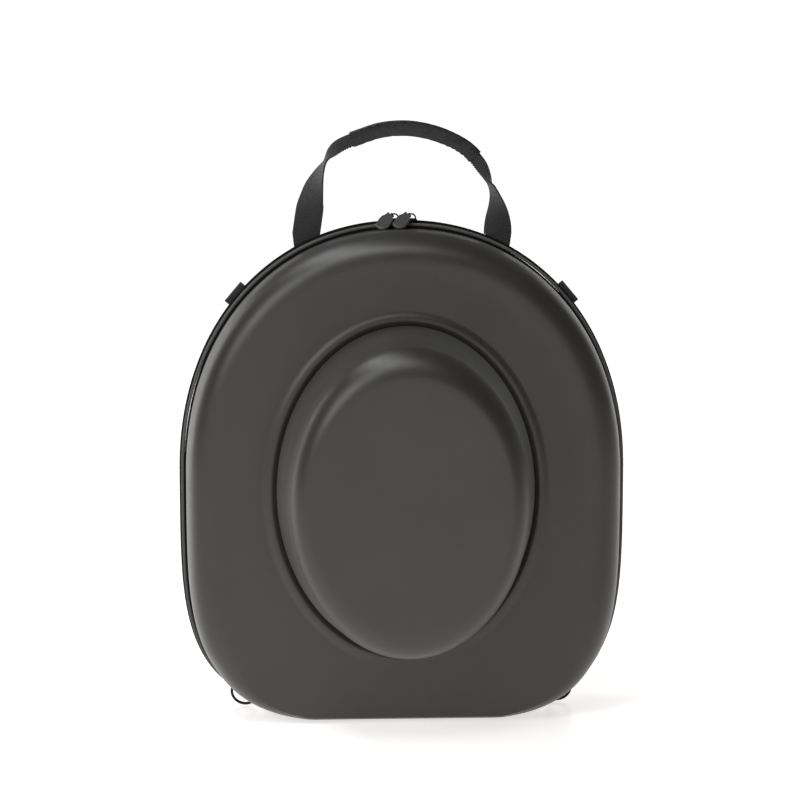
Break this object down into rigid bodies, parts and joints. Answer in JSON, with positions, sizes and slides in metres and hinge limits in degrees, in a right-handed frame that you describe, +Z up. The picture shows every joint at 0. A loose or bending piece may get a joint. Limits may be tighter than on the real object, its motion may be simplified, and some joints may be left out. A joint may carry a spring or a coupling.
{
  "type": "hat case",
  "caption": "Moulded hat case with an oval crown dome, zipped rim, webbing carrying handle, side tabs and D-rings, closed and standing on its foot.",
  "frame": {"origin": "on the floor, under the centre of the bounding box", "axes": "X across the case to the right as seen from the front, Y from the crown dome to the back, Z up"},
  "size_m": [0.36, 0.176, 0.4774],
  "materials": {
    "moulded_skin": "matte fine cloth bonded to moulded foam",
    "binding_cloth": "matte woven tape",
    "black_tape": "matte woven tape",
    "webbing_cloth": "matte woven webbing",
    "grip_skin": "satin coated sleeve",
    "black_metal": "gloss black",
    "pull_rubber": "matte moulded",
    "zip_nylon": "satin nylon"
  },
  "bodies": {
    "root": {"front_shell": "moulded_skin", "back_shell": "moulded_skin", "front_binding": "binding_cloth", "back_binding": "black_tape", "zip_coil": "zip_nylon", "handle_webbing": "webbing_cloth", "handle_grip": "grip_skin", "left_tab": "webbing_cloth", "right_tab": "webbing_cloth", "left_ring_tab": "webbing_cloth", "right_ring_tab": "webbing_cloth", "left_d_ring": "black_metal", "right_d_ring": "black_metal", "left_slider": "black_metal", "right_slider": "black_metal", "left_pull_loop": "black_metal", "right_pull_loop": "black_metal", "left_pull": "pull_rubber", "right_pull": "pull_rubber"}
  },
  "joints": []
}
